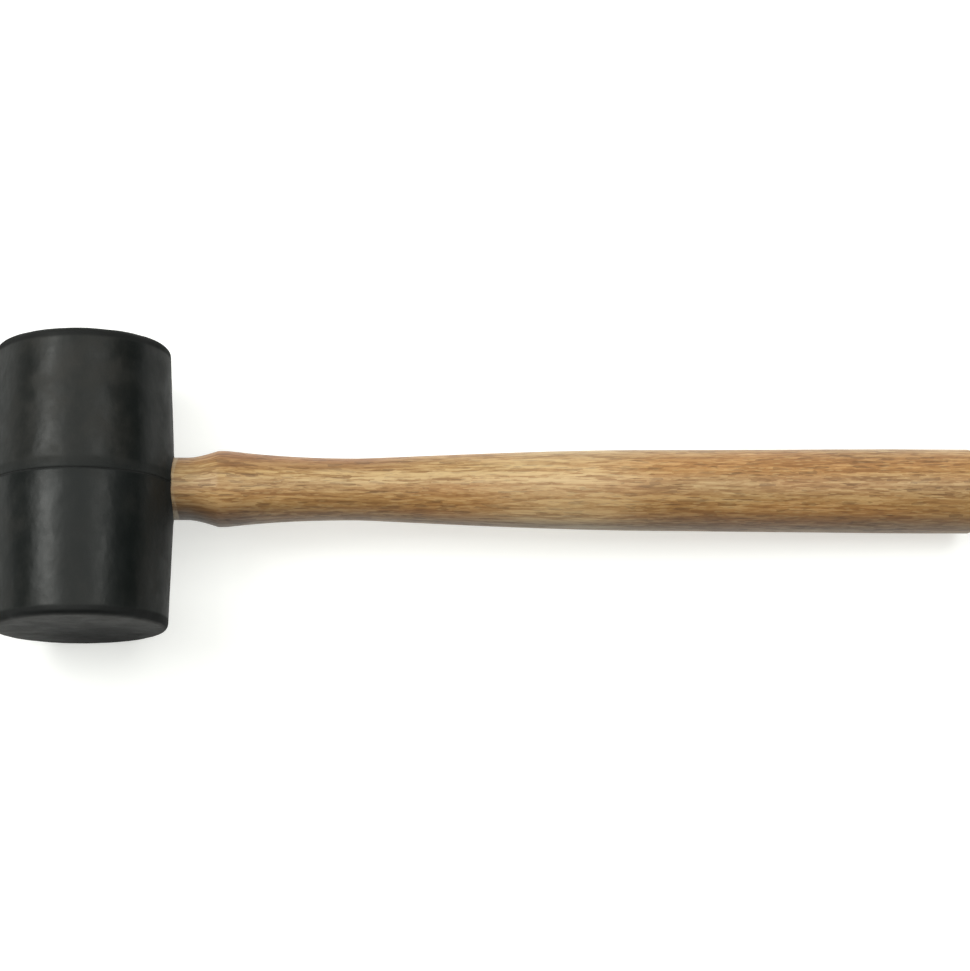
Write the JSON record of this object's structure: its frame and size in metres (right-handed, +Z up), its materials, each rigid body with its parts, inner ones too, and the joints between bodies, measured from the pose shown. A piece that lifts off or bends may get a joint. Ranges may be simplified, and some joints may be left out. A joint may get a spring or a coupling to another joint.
{
  "type": "rubber mallet",
  "caption": "Double-faced black rubber mallet: a barrel-shaped moulded rubber head on a turned hardwood handle whose wedged tenon passes right through the head.",
  "frame": {"origin": "On the surface the mallet lies on, below the centre of its overall box", "axes": "+X toward the butt of the handle, +Y along the head's axis toward the rear striking face, +Z up. The handle slopes down 3.17 degrees from +X, because the mallet lies on the parting line of its head and the edge of its butt."},
  "size_m": [0.3768, 0.1072, 0.07],
  "materials": {
    "rubber": "matt moulded rubber with faint bloom, dusty smudges and scuffed faces",
    "timber": "clear-varnished open-grained hardwood, satin",
    "wedge_timber": "sawn bare hardwood end grain",
    "steel": "dull stamped steel, slightly oxidised"
  },
  "bodies": {
    "root": {"rubber_head": "rubber", "handle": "timber", "wood_wedge": "wedge_timber", "steel_wedges": "steel"}
  },
  "joints": []
}
